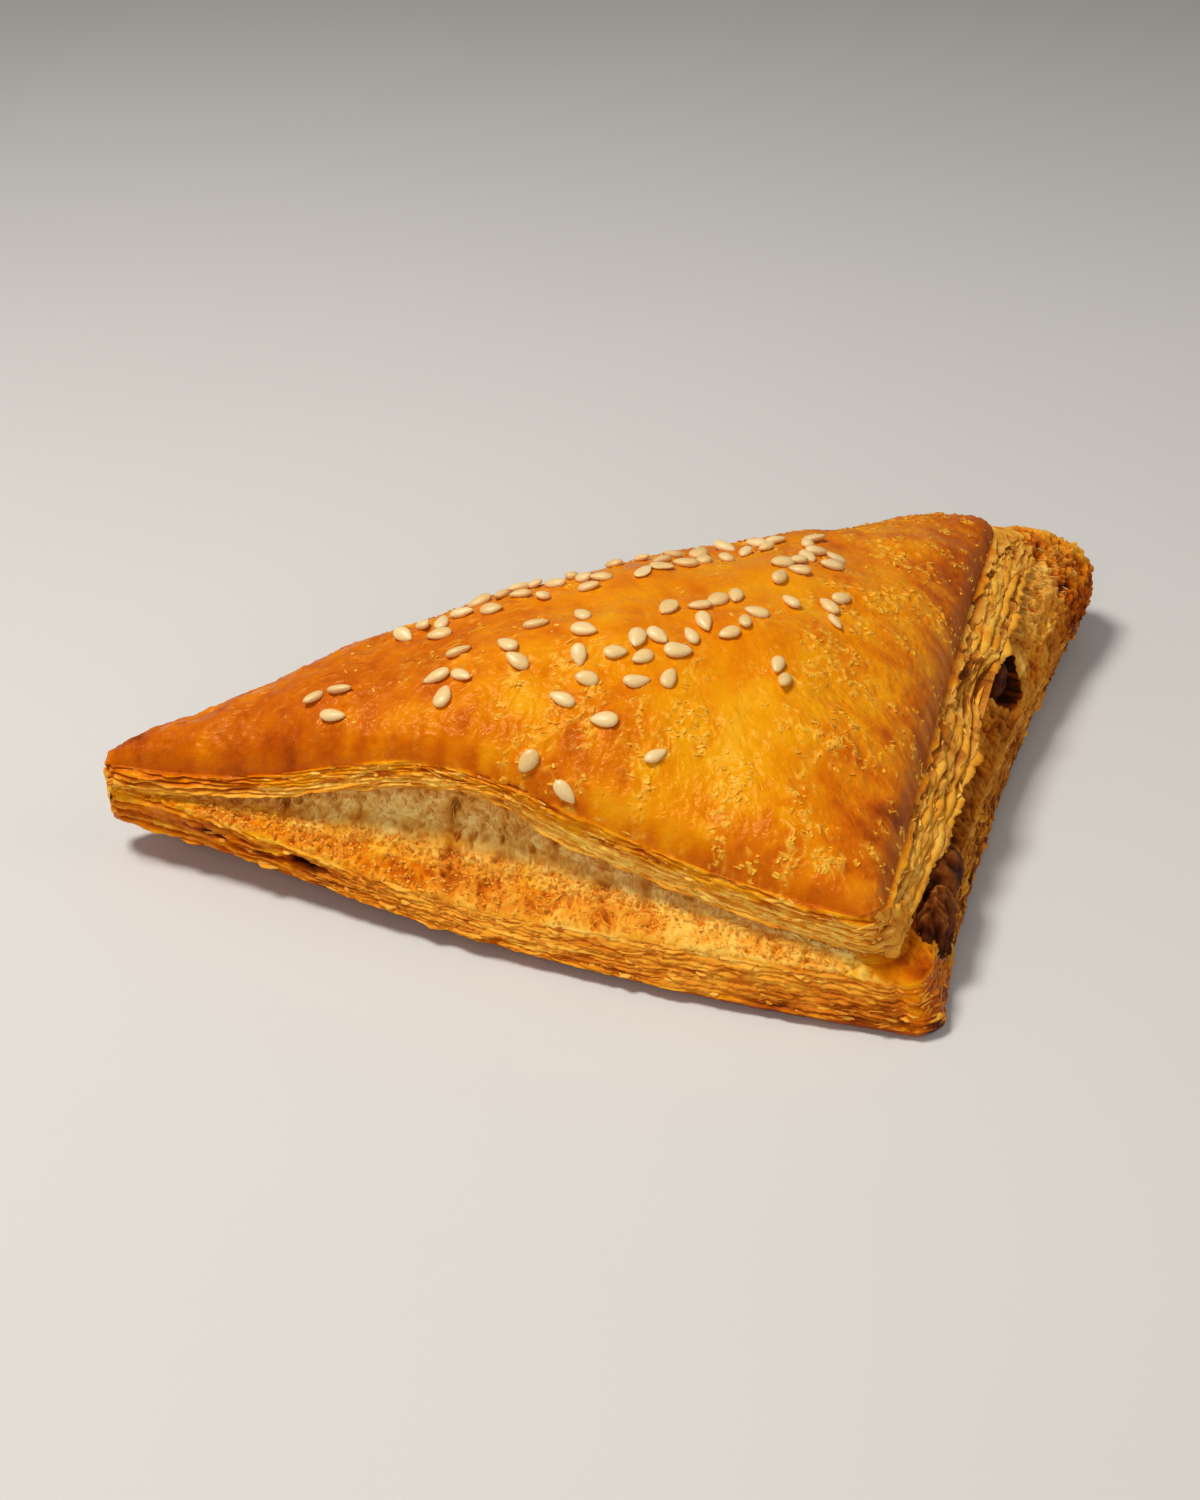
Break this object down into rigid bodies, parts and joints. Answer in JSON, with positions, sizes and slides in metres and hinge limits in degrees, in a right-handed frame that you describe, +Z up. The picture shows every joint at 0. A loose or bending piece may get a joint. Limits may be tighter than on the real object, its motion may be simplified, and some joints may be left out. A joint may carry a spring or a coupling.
{
  "type": "mushroom puff pastry",
  "caption": "Triangular puff pastry turnover with a domed egg-washed top, sesame seeds, flaky cut edges, an open front seam and mushroom filling showing at the right side",
  "frame": {"origin": "under the middle of the pastry's box, on the surface it rests on", "axes": "+X along the fold to the right, +Y towards the fold at the back, +Z up"},
  "size_m": [0.1538, 0.0858, 0.0343],
  "materials": {
    "baked_dough": "baked puff dough: egg-washed and half glossy on top, pale and flaky at the cut edges",
    "cooked_mushroom": "moist, dark brown, half glossy"
  },
  "bodies": {
    "root": {"pastry": "baked_dough", "mushroom_filling": "cooked_mushroom"}
  },
  "joints": []
}
